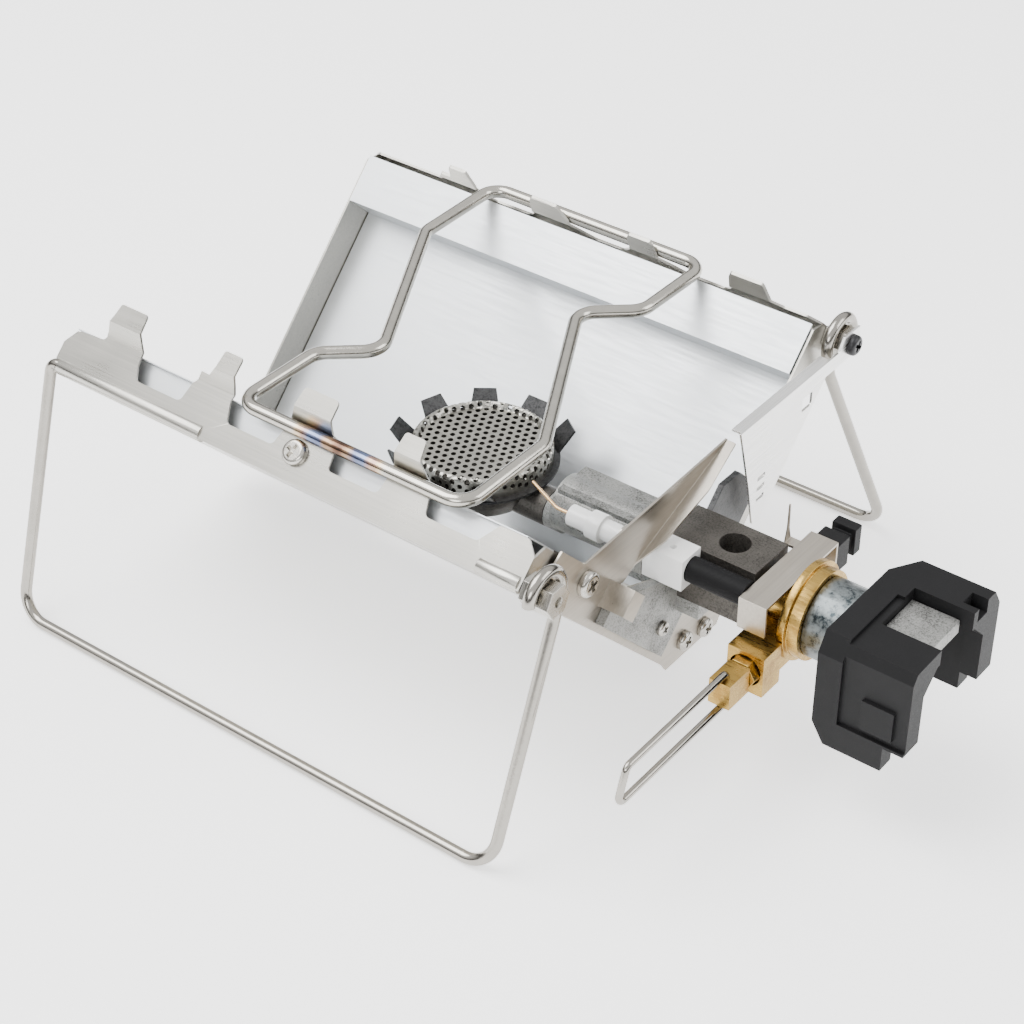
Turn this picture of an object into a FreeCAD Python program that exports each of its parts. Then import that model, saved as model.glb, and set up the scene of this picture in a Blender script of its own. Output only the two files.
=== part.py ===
import FreeCAD, Part
import math
import os

from FreeCAD import Rotation, Placement, Vector

# Folding two-leaf camping stove. Millimetres, +Z up, X along the case, front = -Y.
# Every piece is first built with x = 0 at the left end of the case, and is moved by
# ORIGIN_X when it is written, so that the finished part stands on its origin.

# --- driving dimensions -------------------------------------------------------------
CASE_LENGTH = 191.0         # one leaf of the case, along X
CASTING = 3.2               # thickness of the burner mount
CASE_DEPTH = 16.0           # height of a leaf's walls
LEAF_WIDTH = 107.0          # rim wall to valley wall
LEAF_SLOPE = 45.8           # degrees from the ground, when opened
SHEET = 0.8                 # case sheet
LINER_SHEET = 0.5
PIN_HEIGHT = 22.6           # hinge pin above the ground
PIN_N = 15.0                # hinge pin above the outer face of a leaf
HINGE_PIN_R = 1.2
HINGE_STARTS = (14.0, 137.0)
HINGE_LENGTH = 40.0
HINGE_CELLS = 5             # knuckles of both sides together
KNUCKLE_WALL = 0.75
LEG_WIRE_R = 2.0
LEG_TILT = 17.0             # degrees outward from plumb
STANDOFF_R = 4.8            # half the distance across flats
SUPPORT_WIRE_R = 2.25
SUPPORT_HEIGHT = 103.2      # middle of the wire above the ground
BURNER_X = 110.0
CAP_R = 24.3
CAP_TOP = 61.0
TUBE_R = 9.8                # mixing tube, outside
TUBE_HEIGHT = 51.0
BLOCK_START = 190.0         # air inlet block
BLOCK_LENGTH = 34.0
AIR_HOLE_R = 5.1
VALVE_X = 233.0             # valve spindle
SPINDLE_HEIGHT = 42.0
SPINDLE_R = 2.5
HANDLE_WIRE_R = 1.2
HANDLE_LENGTH = 52.0
REGULATOR_R = 13.4
FLANGE_R = 16.8
HOLDER_START = 257.5
HOLDER_LENGTH = 31.5
HOLDER_HALF = 27.0
HOLDER_TOP = 68.0
COLLAR_HALF = 20.6          # recess for the cartridge's collar, half its width
COLLAR_TOP = 63.4
REAR_SHIELD_X = 199.0       # rear heat shield, on the end of its standoff

# --- screws -------------------------------------------------------------------------
STANDOFF_BOLT_R = 1.6
MOUNT_SCREW_R = 1.5
RIM_SCREW_R = 1.7
RIM_SCREW = (101.0, 9.0)                            # x, n on the front rim
PLATE_SCREW = (33.0, 11.4)                          # s, n of the front shield's screw
LEAF_BOLTS = ((60.0, 10.2), (88.0, 10.2), PLATE_SCREW)
VALLEY_SCREWS = ((0.5, 15.4), (12.5, 13.2))         # y, z at the foot of the end plate

# --- clearances ---------------------------------------------------------------------
FIT = 0.05                  # radial running fit
SEAT = 0.1                  # between pieces that are screwed or lie together
GAP = 0.3                   # between pieces that move past each other

# --- worked out ---------------------------------------------------------------------
SLOPE = math.radians(LEAF_SLOPE)
DOWN = Vector(0, math.cos(SLOPE), -math.sin(SLOPE))     # rim to valley, front leaf
UP = Vector(0, math.sin(SLOPE), math.cos(SLOPE))        # away from the outer face
KNUCKLE_R = HINGE_PIN_R + FIT + KNUCKLE_WALL
PIN_S = LEAF_WIDTH + KNUCKLE_R + SEAT
CORNER_Y = -(PIN_S * DOWN.y + PIN_N * UP.y)
CORNER_Z = PIN_HEIGHT - PIN_S * DOWN.z - PIN_N * UP.z
HEM_R = LEG_WIRE_R + FIT + SHEET
PIVOT_S = 2.0
PIVOT_N = 2.2
PIVOT = Vector(0, CORNER_Y, CORNER_Z) + DOWN * PIVOT_S + UP * PIVOT_N
LEG_LEFT = -LEG_WIRE_R - 2 * GAP
LEG_REACH = (PIVOT.z - LEG_WIRE_R) / math.cos(math.radians(LEG_TILT))   # to the bottom bar
LAYER = SHEET + SEAT        # one more sheet screwed onto the right end wall
END_PLATE_X = CASE_LENGTH + SEAT + LAYER
STANDOFF_START = {"front": END_PLATE_X + LAYER, "rear": CASE_LENGTH + SEAT}
STANDOFF_END = {"front": 203.4, "rear": REAR_SHIELD_X - SEAT}
EYE_X = {"front": 198.4, "rear": 195.0}
LEG_LOW_RIGHT = {"front": 199.0, "rear": 205.0}     # the rear leg is flared
EYE_R = STANDOFF_R / math.cos(math.radians(30)) + GAP + LEG_WIRE_R
HOLDER_END = HOLDER_START + HOLDER_LENGTH
ORIGIN_X = (LEG_LEFT - LEG_WIRE_R + HOLDER_END) / 2
LINER_STEP = 20.0           # width of the liner's raised shelf
LINER_FLANGE_S = 4.4        # its flange, behind the rim screw's end


# --- helpers ------------------------------------------------------------------------
def box(x0, x1, y0, y1, z0, z1):
    return Part.makeBox(x1 - x0, y1 - y0, z1 - z0, Vector(x0, y0, z0))


def rod(r, start, end):
    along = end - start
    return Part.makeCylinder(r, along.Length, start, along)


def tube(r_out, r_in, start, end):
    along = (end - start).normalize()
    return rod(r_out, start, end).cut(rod(r_in, start - along, end + along))


def union(shapes):
    first, rest = shapes[0], shapes[1:]
    return first.fuse(rest).removeSplitter() if rest else first


def outline(points, thickness, normal):
    """A flat plate: a closed outline of vectors, pushed along the normal."""
    wire = Part.makePolygon(points + [points[0]])
    return Part.Face(wire).extrude(normal * thickness)


def rounded_path(points, radii, closed=False):
    """Straight runs joined by tangent arcs; one radius for each inner corner."""
    count = len(points)
    edges, ends = [], []
    corners = range(count) if closed else range(1, count - 1)
    for i in corners:
        before, here, after = points[i - 1], points[i], points[(i + 1) % count]
        a, b = (before - here).normalize(), (after - here).normalize()
        half = a.getAngle(b) / 2
        r = radii[i] if closed else radii[i - 1]
        if r == 0:
            ends.append((here, None, here))
            continue
        back = r / math.tan(half)
        start, end = here + a * back, here + b * back
        bisector = (a + b).normalize()
        middle = here + bisector * (r / math.sin(half) - r)
        ends.append((start, middle, end))
    if closed:
        for i, (start, middle, end) in enumerate(ends):
            if middle:
                edges.append(Part.Arc(start, middle, end).toShape())
            edges.append(Part.LineSegment(end, ends[(i + 1) % count][0]).toShape())
        return Part.Wire(edges)
    at = points[0]
    for start, middle, end in ends:
        edges.append(Part.LineSegment(at, start).toShape())
        edges.append(Part.Arc(start, middle, end).toShape())
        at = end
    edges.append(Part.LineSegment(at, points[-1]).toShape())
    return Part.Wire(edges)


def wire_form(path, r):
    """Round wire along a path, sections at the start of its first edge."""
    first = path.OrderedEdges[0]
    start = first.valueAt(first.FirstParameter)
    tangent = first.tangentAt(first.FirstParameter)
    section = Part.Wire([Part.makeCircle(r, start, tangent)])
    return path.makePipeShell([section], True, False)


def on_leaf(shape, side):
    """Local x, s (down the leaf), n (off its outer face) to the opened leaf."""
    turn = Placement(Vector(0, CORNER_Y, CORNER_Z), Rotation(Vector(1, 0, 0), -LEAF_SLOPE))
    placed = shape.copy()
    placed.transformShape(turn.toMatrix())
    return placed if side == "front" else placed.mirror(Vector(0, 0, 0), Vector(0, 1, 0))


def leaf_plate(sn, x0, x1):
    """A plate square to X, from an outline in s and n."""
    return outline([Vector(x0, s, n) for s, n in sn], x1 - x0, Vector(1, 0, 0))


def screw(r_head, head, r_shank, length, start, along):
    """Pan-head cross screw: start is under the head, along points into the work."""
    shank = Part.makeCylinder(r_shank, length, start, along)
    top = Part.makeCylinder(r_head, head, start - along * head, along)
    top = top.makeFillet(head * 0.6, [e for e in top.Edges if is_ring(e, start - along * head)])
    slots = []
    side = along.cross(Vector(0.3, 0.5, 0.8)).normalize()
    for a in (side, along.cross(side)):
        b = along.cross(a)
        w, l = r_head * 0.16, r_head * 0.55
        corner = start - along * (head + 0.1)
        pts = [corner + a * i * l + b * j * w for i, j in ((1, 1), (-1, 1), (-1, -1), (1, -1))]
        slots.append(outline(pts, head * 0.6, along))
    return union([top, shank]).cut(slots)


def is_ring(edge, centre):
    curve = edge.Curve
    return isinstance(curve, Part.Circle) and (curve.Center - centre).Length < 1e-6


# --- case leaves --------------------------------------------------------------------
# Rim outlines, left to right: x, n and corner radius of the free edge, tabs included.
NOTCH_N = 8.2
RIM_N = 15.2
TAB_BEND_N = 17.0           # the tabs leave the rim's plane here, and stand up plumb
TAB_RISE = 7.0              # before they lean back, along the leaf again
TAB_N = {"front": 28.5, "rear": 20.8}
FRONT_RIM = [
    (0, 10, 2), (4.5, RIM_N, 1.5), (14.5, RIM_N + 0.6, 1.5), (16.3, 19, 3), (18, 24, 3),
    (19, TAB_N["front"], 1), (30.3, TAB_N["front"], 1.2), (30.8, 20, 5), (31.5, 13, 3),
    (33.5, NOTCH_N, 2), (52.5, NOTCH_N, 2), (54, 15, 2), (57.3, 19.8, 1), (60.5, 19.6, 0.8),
    (63, 22, 1), (63.9, TAB_N["front"], 1), (71.2, TAB_N["front"], 1.2), (71, 20, 5),
    (70.3, 15, 3), (72.5, NOTCH_N, 2), (91.5, NOTCH_N, 2), (94, 17, 3), (95.8, 21, 3),
    (97, TAB_N["front"], 1.5), (110.5, TAB_N["front"], 1.5), (110.6, 21, 2), (111.2, 18.6, 0.6),
    (113, 18.2, 0.8), (113.4, 14, 1), (114, NOTCH_N, 1.6), (133.5, NOTCH_N, 2), (135.2, 18, 2),
    (136.6, TAB_N["front"], 1.2), (144.2, TAB_N["front"], 1.2), (145.2, 22, 3), (149.3, 17.5, 2.5),
    (152, NOTCH_N, 2), (171.5, NOTCH_N, 2), (176.5, RIM_N, 1.5), (CASE_LENGTH - 4, RIM_N, 1.5),
    (CASE_LENGTH, 11, 1.5)]
REAR_RIM = [
    (0, 11, 2), (4, RIM_N, 1.5), (36.5, RIM_N, 0.6), (33, 16.6, 0.4), (34.2, 18.2, 0.4),
    (38.8, 18.2, 0.4), (37.4, TAB_N["rear"], 0.5), (45, TAB_N["rear"], 2), (50.5, 17, 3),
    (53.5, NOTCH_N, 2.5), (69.5, NOTCH_N, 2), (75.5, 16, 2), (73.4, TAB_N["rear"], 0.8),
    (85, TAB_N["rear"], 2), (90, 18, 3), (94, 13.5, 3), (98, NOTCH_N, 2), (109.5, NOTCH_N, 2),
    (117, 17, 2), (114.8, TAB_N["rear"], 0.8), (125, TAB_N["rear"], 2), (128, 17, 3),
    (133.5, 12.5, 3), (137, NOTCH_N, 1.5), (152, NOTCH_N, 2), (157.5, 15.5, 2),
    (156.6, TAB_N["rear"], 1), (170, TAB_N["rear"], 2), (173.5, 17, 2), (178, RIM_N, 1.5),
    (CASE_LENGTH - 4, RIM_N, 1.5), (CASE_LENGTH, 11, 1.5)]
HEM_SPANS = ((2.0, 65.0), (CASE_LENGTH - 16.0, CASE_LENGTH - 1.0))


def rim_sheet(rim):
    """The rim wall: its outline cut through a strip that is jogged at tab height."""
    points = [Vector(x, 0, n) for x, n, r in rim]
    points += [Vector(CASE_LENGTH, 0, 0), Vector(0, 0, 0)]
    radii = [r for x, n, r in rim] + [0, 0]
    out, up = TAB_RISE * math.sin(SLOPE), TAB_RISE * math.cos(SLOPE)
    inner_bend = TAB_BEND_N + SHEET * math.tan(SLOPE / 2)
    top = max(TAB_N.values()) + 1
    strip = leaf_plate([(0, 0), (0, TAB_BEND_N), (-out, TAB_BEND_N + up), (-out, top),
                        (SHEET - out, top), (SHEET - out, inner_bend + up), (SHEET, inner_bend),
                        (SHEET, 0)], 0, CASE_LENGTH)
    cutter = Part.Face(rounded_path(points, radii, closed=True)).extrude(Vector(0, 9, 0))
    cutter.translate(Vector(0, -7, 0))
    return strip.common(cutter)


def hem_point(x):
    """On the axis of the rolled hem, which is the axis of the leg too."""
    return Vector(x, PIVOT_S, PIVOT_N)


def case_leaf(side, rim):
    """One tray: plate, rim with its tabs and hem, valley wall and two end walls."""
    plate = box(0, CASE_LENGTH, 0, LEAF_WIDTH, 0, SHEET)
    rim_wall = rim_sheet(rim)
    valley_wall = box(0, CASE_LENGTH, LEAF_WIDTH - SHEET, LEAF_WIDTH, 0, PIN_N - KNUCKLE_R)
    top = CASE_DEPTH - 1
    wall = [(0, 0), (0, 10), (4, top), (LEAF_WIDTH - 6, top), (LEAF_WIDTH, PIN_N - KNUCKLE_R),
            (LEAF_WIDTH, 0)]
    left = leaf_plate(wall, 0, SHEET)
    right = leaf_plate(wall, CASE_LENGTH - SHEET, CASE_LENGTH)
    shell = union([plate, rim_wall, valley_wall, left, right])
    cuts = [rod(HEM_R, hem_point(x0), hem_point(x1)) for x0, x1 in HEM_SPANS]
    rolls = [tube(HEM_R, LEG_WIRE_R + FIT, hem_point(x0), hem_point(x1)) for x0, x1 in HEM_SPANS]
    shell = union([shell.cut(cuts)] + rolls)
    bores = [rod(LEG_WIRE_R + 2 * GAP, hem_point(-1), hem_point(3)),
             rod(STANDOFF_BOLT_R + FIT, hem_point(CASE_LENGTH - 3), hem_point(CASE_LENGTH + 1))]
    if side == "front":
        for s, n in LEAF_BOLTS:
            bores.append(rod(MOUNT_SCREW_R + FIT, Vector(CASE_LENGTH - 2, s, n),
                             Vector(CASE_LENGTH + 1, s, n)))
        bores.append(rod(RIM_SCREW_R + FIT, Vector(RIM_SCREW[0], -1, RIM_SCREW[1]),
                         Vector(RIM_SCREW[0], 2, RIM_SCREW[1])))
    return on_leaf(shell.cut(bores), side)


def liner(side):
    """Bright heat liner: floor, step up, shelf under the rim and a flange behind it."""
    t = LINER_SHEET
    low, high = SHEET + SEAT, CASE_DEPTH - 0.2
    x0 = SHEET + GAP
    x1 = CASE_LENGTH - (6.0 if side == "front" else SHEET + GAP)    # front: clear of the nuts
    s_end = LEAF_WIDTH - SHEET - 1.2
    floor = box(x0, x1, LINER_STEP, s_end, low, low + t)
    step = box(x0, x1, LINER_STEP, LINER_STEP + t, low, high)
    shelf = box(x0, x1, SHEET + 1.6, LINER_STEP + t, high - t, high)
    flange = box(x0, x1, LINER_FLANGE_S, LINER_FLANGE_S + t, PIVOT_N + HEM_R + GAP, high)
    return on_leaf(union([floor, step, shelf, flange]), side)


def hinge_leaf(side):
    """Two butt hinge leaves on the valley wall; knuckles alternate with the other side."""
    solids = []
    for x0 in HINGE_STARTS:
        strap = box(x0, x0 + HINGE_LENGTH, LEAF_WIDTH + SEAT, LEAF_WIDTH + SEAT + KNUCKLE_WALL,
                    2.0, PIN_N)
        step = HINGE_LENGTH / HINGE_CELLS
        mine = 0 if side == "front" else 1
        tubes, gaps = [], []
        for i in range(HINGE_CELLS):
            a, b = x0 + i * step, x0 + (i + 1) * step
            if i % 2 == mine:
                tubes.append(rod(KNUCKLE_R, Vector(a + SEAT, PIN_S, PIN_N),
                                 Vector(b - SEAT, PIN_S, PIN_N)))
            else:
                gaps.append(box(a - SEAT, b + SEAT, LEAF_WIDTH, PIN_S + 3,
                                PIN_N - KNUCKLE_R - GAP, PIN_N + KNUCKLE_R + 1))
        body = union([strap.cut(gaps)] + tubes)
        bore = rod(HINGE_PIN_R + FIT, Vector(x0 - 1, PIN_S, PIN_N),
                   Vector(x0 + HINGE_LENGTH + 1, PIN_S, PIN_N))
        solids.append(on_leaf(body.cut(bore), side))
    return Part.makeCompound(solids)


def hinge_pins():
    return Part.makeCompound([
        on_leaf(rod(HINGE_PIN_R, Vector(x0 - 0.6, PIN_S, PIN_N),
                    Vector(x0 + HINGE_LENGTH + 0.6, PIN_S, PIN_N)), "front")
        for x0 in HINGE_STARTS])


def rim_screw():
    x, n = RIM_SCREW
    local = screw(4.2, 2.4, RIM_SCREW_R, 4.0, Vector(x, -SEAT, n), Vector(0, 1, 0))
    return on_leaf(local, "front")


def rim_nut():
    x, n = RIM_SCREW
    start = Vector(x, SHEET + SEAT, n)
    return on_leaf(hexagon(3.2, 2.2, start, Vector(0, 1, 0), RIM_SCREW_R + FIT), "front")


def hexagon(flat_r, length, start, along, bore_r):
    """Six-sided nut or standoff with a bore."""
    r = flat_r / math.cos(math.radians(30))
    side = along.cross(Vector(0, 0, 1) if abs(along.z) < 0.9 else Vector(1, 0, 0)).normalize()
    up = along.cross(side)
    points = []
    for i in range(6):
        a = math.radians(60 * i)
        points.append(start + side * (r * math.cos(a)) + up * (r * math.sin(a)))
    body = outline(points, length, along)
    return body.cut(Part.makeCylinder(bore_r, length + 2, start - along, along))


# --- legs ---------------------------------------------------------------------------
def leg(side):
    """Wire leg: left end turned into the rolled hem, right end an open eye."""
    tilt = math.radians(LEG_TILT)
    out = Vector(0, -math.cos(tilt), math.sin(tilt))    # square to the leg, outward
    along = Vector(0, -math.sin(tilt), -math.cos(tilt))
    hem_end = Vector(HEM_SPANS[0][1] - 6.0, PIVOT.y, PIVOT.z)
    top_left = Vector(LEG_LEFT, PIVOT.y, PIVOT.z)
    low_left = top_left + along * LEG_REACH
    low_right = Vector(LEG_LOW_RIGHT[side], low_left.y, low_left.z)
    centre = Vector(EYE_X[side], PIVOT.y, PIVOT.z)
    eye_side = centre - out * EYE_R
    knee = eye_side + along * (EYE_R + 2.0)
    points = [hem_end, top_left, low_left, low_right, knee, eye_side]
    path = rounded_path(points, [LEG_WIRE_R * 1.6, 10.0, 10.0, 20.0])
    arc_mid = centre - along * EYE_R
    arc_end = centre + (out * 0.985 + along * 0.17) * EYE_R
    eye = Part.Wire([Part.Arc(eye_side, arc_mid, arc_end).toShape()])
    body = wire_form(path, LEG_WIRE_R)
    section = Part.Wire([Part.makeCircle(LEG_WIRE_R, eye_side, along)])
    hook = eye.makePipeShell([section], True, False)
    shape = body.fuse(hook).removeSplitter()
    return shape if side == "front" else shape.mirror(Vector(0, 0, 0), Vector(0, 1, 0))


def standoff(side):
    start = Vector(STANDOFF_START[side], PIVOT.y, PIVOT.z)
    length = STANDOFF_END[side] - start.x
    shape = hexagon(STANDOFF_R, length, start, Vector(1, 0, 0), STANDOFF_BOLT_R + FIT)
    return shape if side == "front" else shape.mirror(Vector(0, 0, 0), Vector(0, 1, 0))


def standoff_bolts():
    """Front: a stud through the end wall. Rear: a bolt from outside, through the shield."""
    outside = REAR_SHIELD_X + LAYER
    front = rod(STANDOFF_BOLT_R, Vector(CASE_LENGTH - 3.0, PIVOT.y, PIVOT.z),
                Vector(STANDOFF_END["front"] - 3.0, PIVOT.y, PIVOT.z))
    rear = screw(3.6, 2.4, STANDOFF_BOLT_R, outside - CASE_LENGTH + 3.0,
                 Vector(outside, -PIVOT.y, PIVOT.z), Vector(-1, 0, 0))
    return Part.makeCompound([front, rear])


# --- pot support --------------------------------------------------------------------
def pot_support():
    """One closed wire loop, a crooked cross, the same after half a turn about Z."""
    rim_n = (SUPPORT_HEIGHT - CORNER_Z - (SUPPORT_WIRE_R + GAP) * math.sin(SLOPE)) / UP.z
    edge_y = -(CORNER_Y + UP.y * rim_n) + (SUPPORT_WIRE_R + GAP) * math.cos(SLOPE)
    half = [(34.8, -edge_y), (34.2, -42.0), (17.9, -28.3), (54.2, 38.5), (54.4, edge_y)]
    points = [(BURNER_X - x, y) for x, y in half] + [(BURNER_X + x, -y) for x, y in half]
    points = [Vector(x, y, SUPPORT_HEIGHT) for x, y in points]
    radii = [7.0, 8.0, 8.0, 8.0, 7.0] * 2
    return wire_form(rounded_path(points, radii, closed=True), SUPPORT_WIRE_R)


# --- heat shields -------------------------------------------------------------------
def front_shield():
    """Tapered web behind the end plate, its lower edge folded outward as a flange."""
    x0 = CASE_LENGTH + SEAT
    tip, low = (22.0, 83.5), (-31.0, 62.6)
    root = [leaf_yz(58.0, 17.5), leaf_yz(46.0, 7.0), leaf_yz(27.0, 6.0), leaf_yz(28.6, 16.5)]
    web = [(-54.4, 80.6), tip, (tip[0], tip[1] - 0.9), low] + root
    web = outline([Vector(x0, y, z) for y, z in web], SHEET, Vector(1, 0, 0))
    slope = (tip[1] - 0.9 - low[1]) / (tip[0] - low[0])
    edge = [(-29.0, 0.4), (-17.0, 4.6), (4.0, 6.2), (tip[0], 4.0)]
    rail = [(y, x0, low[1] + slope * (y - low[0])) for y in (edge[0][0], edge[-1][0])]
    lip = [Vector(x, y, z) for y, x, z in rail[::-1]]
    lip += [Vector(x0 + w, y, low[1] + slope * (y - low[0])) for y, w in edge]
    tilt = math.atan(slope)
    flange = outline(lip, SHEET, Vector(0, -math.sin(tilt), math.cos(tilt)))
    hole = on_leaf(rod(MOUNT_SCREW_R + FIT, Vector(x0 - 1, *PLATE_SCREW),
                       Vector(x0 + 2, *PLATE_SCREW)), "front")
    return union([web, flange]).cut(hole)


def leaf_yz(s, n):
    point = Vector(0, CORNER_Y, CORNER_Z) + DOWN * s + UP * n
    return point.y, point.z


def rear_shield():
    """Large web on the rear standoff, with a narrow top flange, a window and slots."""
    x0 = REAR_SHIELD_X
    top = 91.2
    web = [(17.0, top), (76.0, top), (79.0, 95.4), (88.6, 95.4), (89.0, 86.0), (68.0, 85.8),
           (31.0, 48.5), (27.5, 50.0), (24.0, 66.0)]
    web = outline([Vector(x0, y, z) for y, z in web], SHEET, Vector(1, 0, 0))
    strip = box(x0 - 3.4, x0 + SHEET, 18.0, 70.5, top - SHEET, top)     # clear of the leg's eye
    window = box(x0 - 1, x0 + 2, 54.0, 60.0, 79.5, 84.5)
    slots = [box(x0 - 1, x0 + 2, 29.0, 33.5, z, z + 1.6) for z in (58.0, 62.0, 66.0)]
    hole = rod(STANDOFF_BOLT_R + FIT, Vector(x0 - 2, -PIVOT.y, PIVOT.z),
               Vector(x0 + 2, -PIVOT.y, PIVOT.z))
    return union([web, strip]).cut([window, hole] + slots)


# --- burner -------------------------------------------------------------------------
def revolved(profile, x, y):
    """Profile of radius and height turned about the vertical through x, y."""
    pts = [Vector(x + r, y, z) for r, z in profile]
    face = Part.Face(Part.makePolygon(pts + [pts[0]]))
    return face.revolve(Vector(x, y, 0), Vector(0, 0, 1), 360)


CAP_RIM = 7.0
CUP_TOP = CAP_TOP - 2.4
CUP_R = CAP_R - 1.3
CUP_BOTTOM = 37.0
PETALS = 10
PETAL_RISE = 7.0
PETAL_FLARE = 6.6
NECK_R = 6.6                # where cup and mixing tube meet
NECK_REACH = 7.0            # the cup's neck stands out this far
NECK_DROP = 5.4             # below the tube's axis
THROAT_R = 4.6
THROAT_DROP = 3.0


def on_tube(x, rise=0.0):
    """A point over or under the axis that tube, jet, valve and regulator share."""
    return Vector(x, 0, TUBE_HEIGHT + rise)


def burner_cap():
    t = 0.7
    low = CAP_TOP - CAP_RIM
    profile = [(CAP_R - t, low), (CAP_R, low), (CAP_R, CAP_TOP - 2.2),
               (CAP_R - 1.6, CAP_TOP - 0.9), (CAP_R * 0.5, CAP_TOP - 0.2), (0, CAP_TOP), (0, CAP_TOP - t),
               (CAP_R * 0.5, CAP_TOP - 0.2 - t), (CAP_R - 2.0, CAP_TOP - 0.9 - t),
               (CAP_R - t, CAP_TOP - 2.6)]
    return revolved(profile, BURNER_X, 0)


def burner_cup():
    """Cast bowl under the cap, with the mixing tube's socket on its right side."""
    wall = 1.8
    outer = CUP_R - SEAT
    profile = [(0, CUP_BOTTOM), (11, CUP_BOTTOM), (17, CUP_BOTTOM + 4), (outer - 2, 47.0),
               (outer, 52.0), (outer, CUP_TOP), (outer - wall, CUP_TOP), (outer - wall, 52.6),
               (outer - 4, 48.4), (16, CUP_BOTTOM + 6), (10.6, CUP_BOTTOM + 2), (0, CUP_BOTTOM + 2)]
    bowl = revolved(profile, BURNER_X, 0)
    reach = BURNER_X + outer + NECK_REACH
    neck = rod(NECK_R, on_tube(BURNER_X + 12, -NECK_DROP), on_tube(reach, -NECK_DROP))
    bore = rod(THROAT_R, on_tube(BURNER_X + 10, -NECK_DROP), on_tube(reach + 1, -NECK_DROP))
    room = revolved([(0, CUP_BOTTOM + 2), (10.6, CUP_BOTTOM + 2), (16, CUP_BOTTOM + 6),
                     (outer - 4, 48.4), (outer - wall, 52.6), (outer - wall, CUP_TOP + 1),
                     (0, CUP_TOP + 1)], BURNER_X, 0)
    return union([bowl, neck.cut(room)]).cut(bore)


def petal_ring():
    """Heat-darkened sheet ring round the cup, its petals bent up and outward."""
    t = SHEET
    inner, root = CUP_R + GAP, CAP_R + 2.0
    z = CAP_TOP - CAP_RIM - t - GAP
    ring = tube(root, inner, Vector(BURNER_X, 0, z), Vector(BURNER_X, 0, z + t))
    petals = []
    for i in range(PETALS):
        angle = 360 * (i + 0.5) / PETALS
        if min(angle, 360 - angle) < 25:        # room for the mixing tube
            continue
        out = Vector(math.cos(math.radians(angle)), math.sin(math.radians(angle)), 0)
        side = Vector(-out.y, out.x, 0)
        foot = Vector(BURNER_X, 0, z) + out * (root - 1.2)
        tip = foot + out * PETAL_FLARE + Vector(0, 0, PETAL_RISE)
        points = [foot - side * 5.4, tip - side * 3.9, tip + side * 3.9, foot + side * 5.4]
        inward = (Vector(0, 0, PETAL_FLARE) - out * PETAL_RISE).normalize()
        petals.append(outline(points, t, inward))
    return union([ring] + petals)


def mixing_tube():
    """Cast tube from the air block to the burner, square at its right end."""
    start = BURNER_X + CUP_R + NECK_REACH + 2 * SEAT
    nose = rod(NECK_R, on_tube(start, -NECK_DROP), on_tube(start + 6, -NECK_DROP))
    barrel = rod(TUBE_R, on_tube(start + 5), on_tube(BLOCK_START - 6))
    foot = box(BLOCK_START - 14, BLOCK_START - SEAT, -TUBE_R, TUBE_R, TUBE_HEIGHT - TUBE_R,
               TUBE_HEIGHT + TUBE_R)
    ridge = box(start + 6, BLOCK_START - 12, -6.4, TUBE_R - 0.6, TUBE_HEIGHT, TUBE_HEIGHT + TUBE_R - 0.6)
    bore = rod(THROAT_R, on_tube(start - 1, 0.4 - NECK_DROP), on_tube(BLOCK_START + 1, -THROAT_DROP))
    return union([nose, barrel, foot, ridge]).cut(bore)


BLOCK_END = BLOCK_START + BLOCK_LENGTH
BLOCK_TOP = 64.0
BLOCK_BOTTOM = 42.0
BLOCK_HALF = 9.6
AIR_HOLE_X = 210.5
JET_R = 3.4
JET_HOLE_R = 0.5


def air_block():
    """Dark cast block with the vertical air hole and the jet's bore."""
    body = box(BLOCK_START, BLOCK_END, -BLOCK_HALF, BLOCK_HALF, BLOCK_BOTTOM, BLOCK_TOP)
    bore = rod(THROAT_R, on_tube(BLOCK_START - 1, -THROAT_DROP), on_tube(BLOCK_END - 8))
    seat = rod(JET_R + FIT, on_tube(BLOCK_END - 9), on_tube(BLOCK_END + 1))
    air = rod(AIR_HOLE_R, Vector(AIR_HOLE_X, 0, BLOCK_BOTTOM - 1),
              Vector(AIR_HOLE_X, 0, BLOCK_TOP + 1))
    return body.cut([bore, seat, air])


def gas_jet():
    """Brass jet in the block's right end, on the axis of the tube."""
    body = rod(JET_R, on_tube(BLOCK_END - 7), on_tube(BLOCK_END - SEAT))
    hole = rod(JET_HOLE_R, on_tube(BLOCK_END - 8), on_tube(BLOCK_END + 1))
    return body.cut(hole)


def burner_mount():
    """Casting that carries tube and block on the front leaf's right end wall."""
    x0, x1 = END_PLATE_X + LAYER, END_PLATE_X + LAYER + CASTING
    sn = [(50, 2), (50, 12), (58, 15), (76, 24), (95, 28), (98, 20), (98, 2)]
    body = on_leaf(leaf_plate(sn, x0, x1), "front")
    under = box(x0, AIR_HOLE_X - AIR_HOLE_R - 1, -BLOCK_HALF, BLOCK_HALF,
                BLOCK_BOTTOM - 6, BLOCK_BOTTOM - SEAT)
    holes = [on_leaf(rod(MOUNT_SCREW_R + FIT, Vector(x0 - 1, s, n), Vector(x1 + 1, s, n)), "front")
             for s, n in LEAF_BOLTS[:2]]
    return union([body.cut(block_room()), under]).cut(holes)


def block_room():
    """What the end plate and the mount leave clear for the air block."""
    return box(BLOCK_START - 1, BLOCK_END, -BLOCK_HALF - SEAT, BLOCK_HALF + SEAT,
               BLOCK_BOTTOM - SEAT, BLOCK_TOP + 1)


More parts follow.
